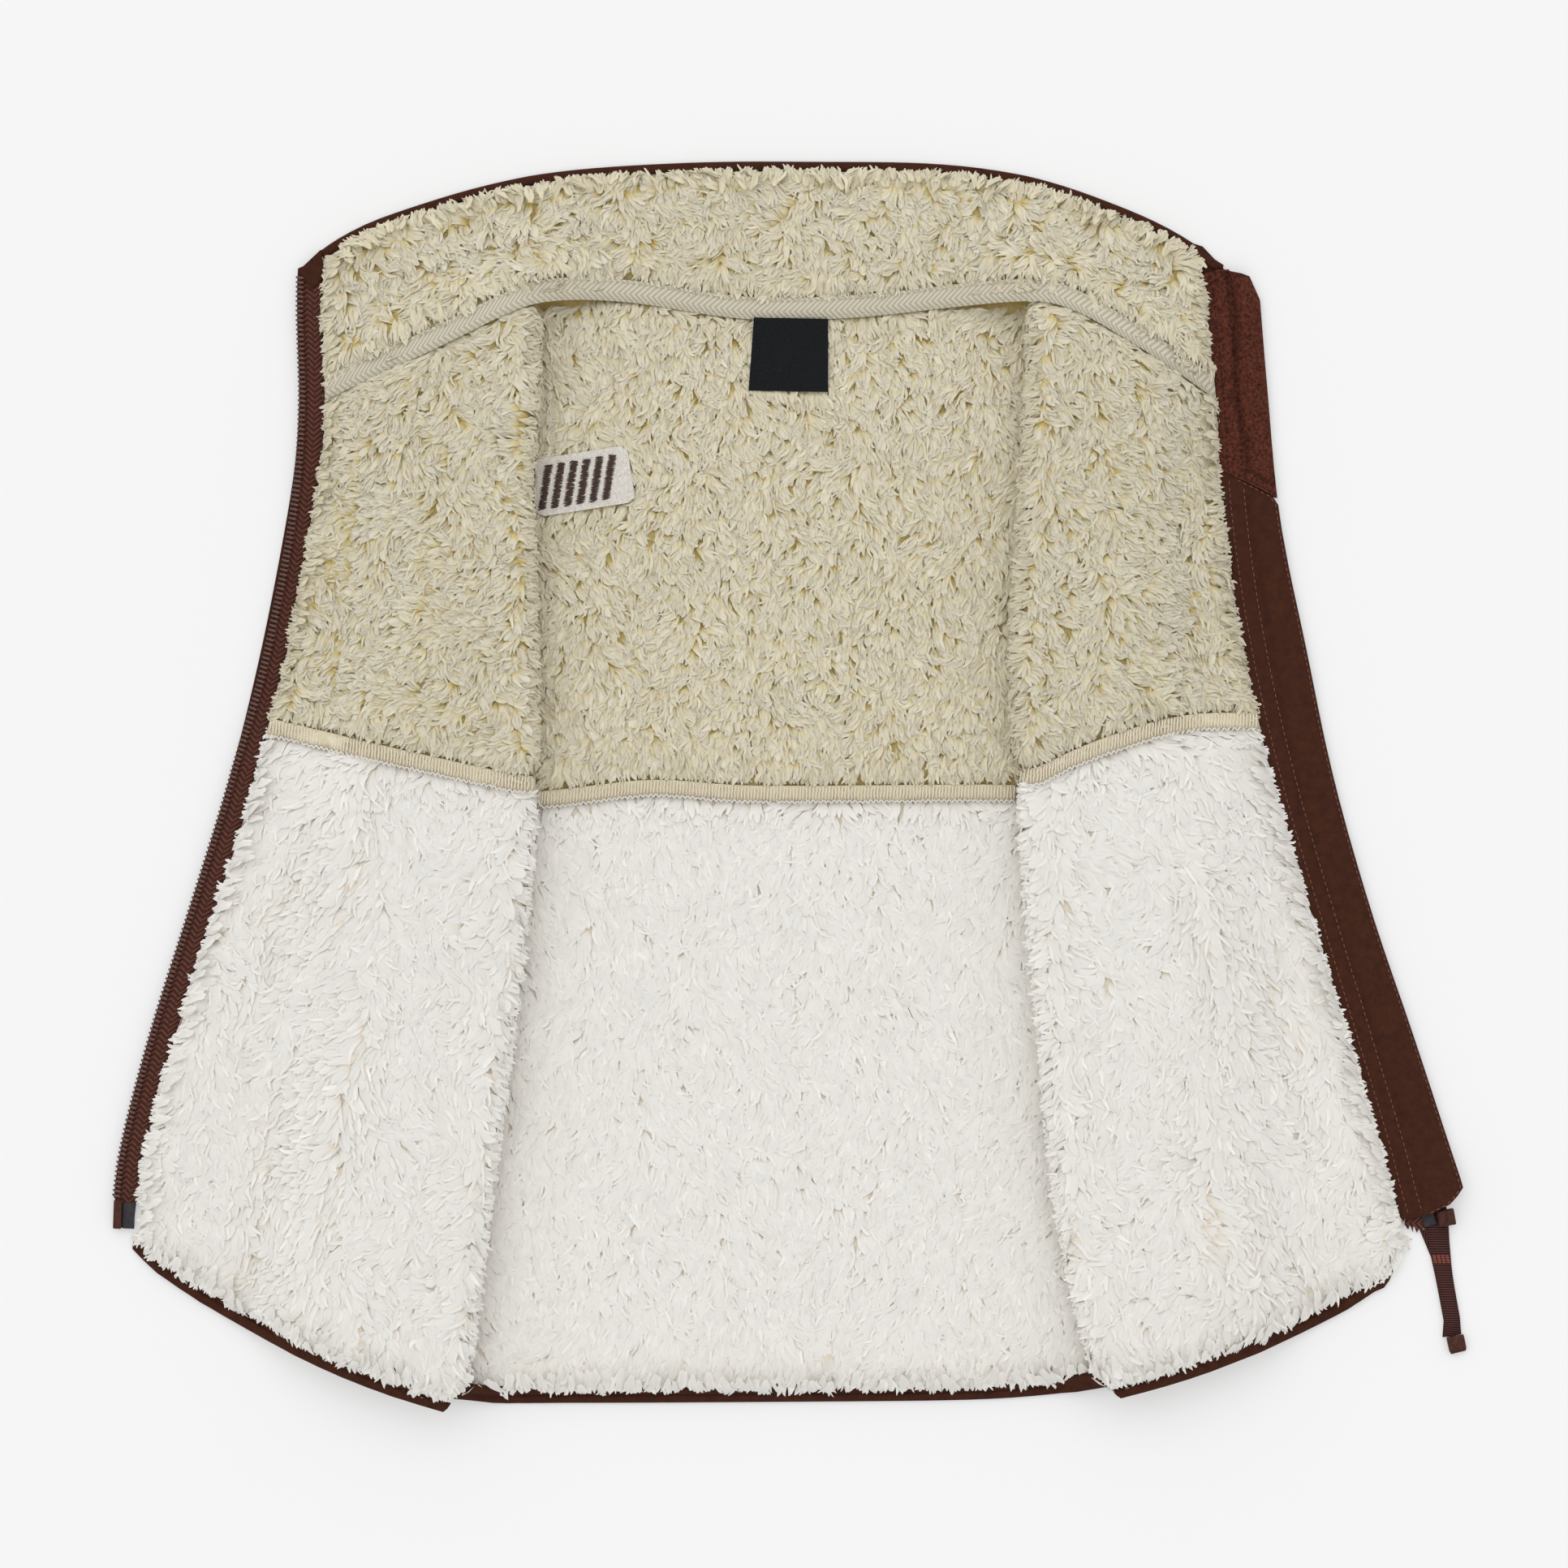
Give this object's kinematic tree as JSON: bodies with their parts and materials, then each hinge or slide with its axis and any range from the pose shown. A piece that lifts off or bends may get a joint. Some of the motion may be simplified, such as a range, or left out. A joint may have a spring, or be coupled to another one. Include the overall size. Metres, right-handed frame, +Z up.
{
  "type": "fleece vest",
  "caption": "Sherpa fleece vest laid open on its back with both zip fronts turned back, beige yoke and stand collar over ivory body, brown woven trims and wind flap",
  "frame": {"origin": "on the surface that the vest lies on, under the middle of its outline", "axes": "+X to the right as seen from above, +Y towards the collar, +Z up from the surface"},
  "size_m": [0.5437, 0.5013, 0.0246],
  "materials": {
    "fleece_beige": "curly sherpa pile, matt",
    "fleece_ivory": "curly sherpa pile, matt",
    "twill_cream": "herringbone cotton twill",
    "overlock_beige": "overlocked seam allowance",
    "woven_brown": "smooth plain weave",
    "brushed_brown": "brushed weave",
    "label_black": "woven satin label, bare",
    "stitched_white": "stitched backing with plain rows of thread",
    "zip_brown": "polyester zip tape and coil",
    "moulded_brown": "moulded, slight gloss",
    "film_dark": "smooth reinforcement film",
    "ribbon_brown": "grosgrain ribbon"
  },
  "bodies": {
    "root": {"back_yoke": "fleece_beige", "left_front_yoke": "fleece_beige", "right_front_yoke": "fleece_beige", "collar": "fleece_beige", "back_lower": "fleece_ivory", "left_front_lower": "fleece_ivory", "right_front_lower": "fleece_ivory", "neck_tape": "twill_cream", "back_seam_band": "overlock_beige", "left_seam_band": "overlock_beige", "right_seam_band": "overlock_beige", "collar_binding": "woven_brown", "hem_band_back": "woven_brown", "left_hem_band": "woven_brown", "right_hem_band": "woven_brown", "left_zip_facing": "woven_brown", "placket_lower": "woven_brown", "placket_upper": "brushed_brown", "neck_label": "label_black", "embroidery_patch": "stitched_white", "left_zip_tape": "zip_brown", "left_coil": "zip_brown", "right_zip_tape": "zip_brown", "right_coil": "zip_brown", "insertion_pin": "moulded_brown", "slider": "moulded_brown", "retainer_box": "moulded_brown", "ribbon_cap": "moulded_brown", "end_film_left": "film_dark", "end_film_right": "film_dark", "pull_ribbon": "ribbon_brown"}
  },
  "joints": []
}
